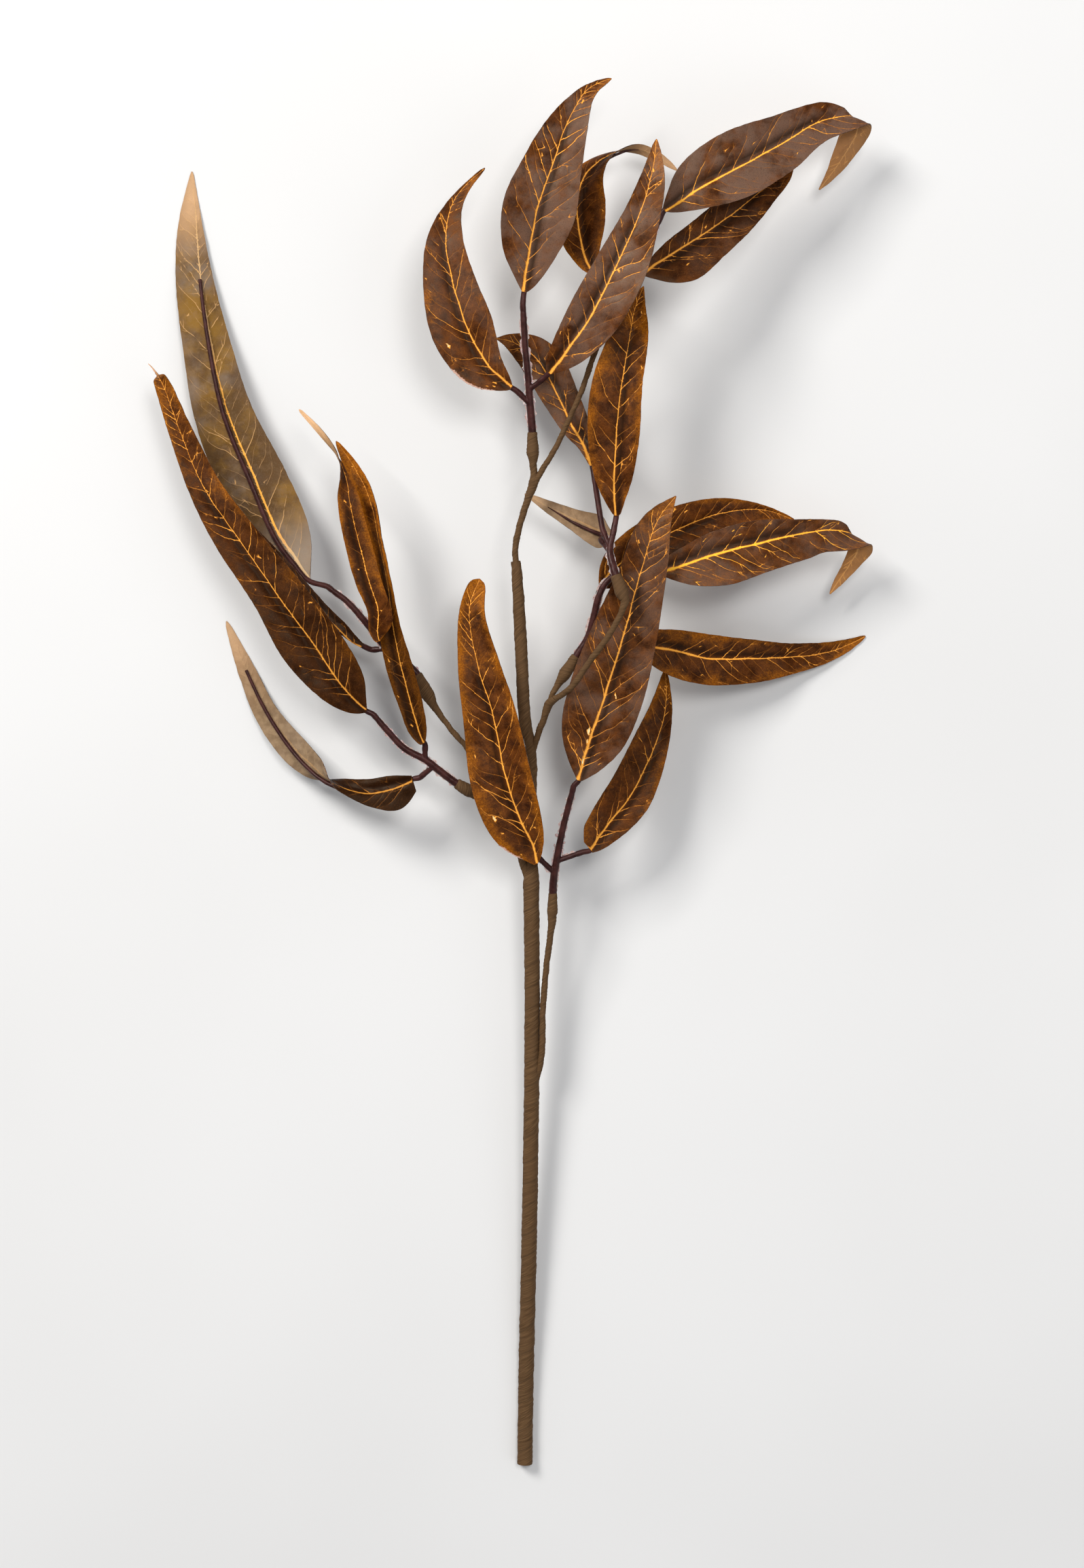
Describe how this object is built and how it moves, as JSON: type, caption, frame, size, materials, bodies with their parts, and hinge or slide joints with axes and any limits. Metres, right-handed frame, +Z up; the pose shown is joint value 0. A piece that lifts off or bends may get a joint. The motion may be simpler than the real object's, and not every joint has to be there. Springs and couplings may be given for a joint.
{
  "type": "artificial eucalyptus stem",
  "caption": "Artificial eucalyptus stem of long brown printed leaves on a taped wire trunk with branches, lying on a table.",
  "frame": {"origin": "bottom centre of the stem's box as it lies on a table, leaves upwards", "axes": "+Y from the cut end of the trunk to the tips, +Z up from the table, +X to the right seen from above"},
  "size_m": [0.3631, 0.709, 0.0706],
  "materials": {
    "floral_tape": "matt khaki brown crepe paper tape, wound in a spiral",
    "core_wire": "plain drawn steel wire, dull",
    "maroon_plastic": "satin dark maroon moulded plastic with crumbs of flash",
    "printed_fabric": "dark brown printed fabric with orange mottling and yellow veins, beige underside"
  },
  "bodies": {
    "root": {"trunk_wrap": "floral_tape", "trunk_wire": "core_wire", "branch_a": "floral_tape", "branch_b": "floral_tape", "branch_c": "floral_tape", "branch_d": "floral_tape", "branch_e": "floral_tape", "branch_f": "floral_tape", "branch_g": "floral_tape", "stem_a": "maroon_plastic", "stem_b": "maroon_plastic", "stem_c": "maroon_plastic", "stem_d": "maroon_plastic", "stem_e": "maroon_plastic", "stem_f": "maroon_plastic", "stem_g": "maroon_plastic", "blade_a1": "printed_fabric", "blade_a2": "printed_fabric", "blade_a3": "printed_fabric", "blade_b1": "printed_fabric", "blade_b2": "printed_fabric", "blade_b3": "printed_fabric", "blade_c1": "printed_fabric", "blade_c2": "printed_fabric", "blade_c3": "printed_fabric", "blade_d1": "printed_fabric", "blade_d2": "printed_fabric", "blade_d3": "printed_fabric", "blade_e1": "printed_fabric", "blade_e2": "printed_fabric", "blade_e3": "printed_fabric", "blade_f1": "printed_fabric", "blade_f2": "printed_fabric", "blade_f3": "printed_fabric", "blade_g1": "printed_fabric", "blade_g2": "printed_fabric", "blade_g3": "printed_fabric", "rib_a1": "maroon_plastic", "rib_a2": "maroon_plastic", "rib_a3": "maroon_plastic", "rib_b1": "maroon_plastic", "rib_b2": "maroon_plastic", "rib_b3": "maroon_plastic", "rib_c1": "maroon_plastic", "rib_c2": "maroon_plastic", "rib_c3": "maroon_plastic", "rib_d1": "maroon_plastic", "rib_d2": "maroon_plastic", "rib_d3": "maroon_plastic", "rib_e1": "maroon_plastic", "rib_e2": "maroon_plastic", "rib_e3": "maroon_plastic", "rib_f1": "maroon_plastic", "rib_f2": "maroon_plastic", "rib_f3": "maroon_plastic", "rib_g1": "maroon_plastic", "rib_g2": "maroon_plastic", "rib_g3": "maroon_plastic"}
  },
  "joints": []
}
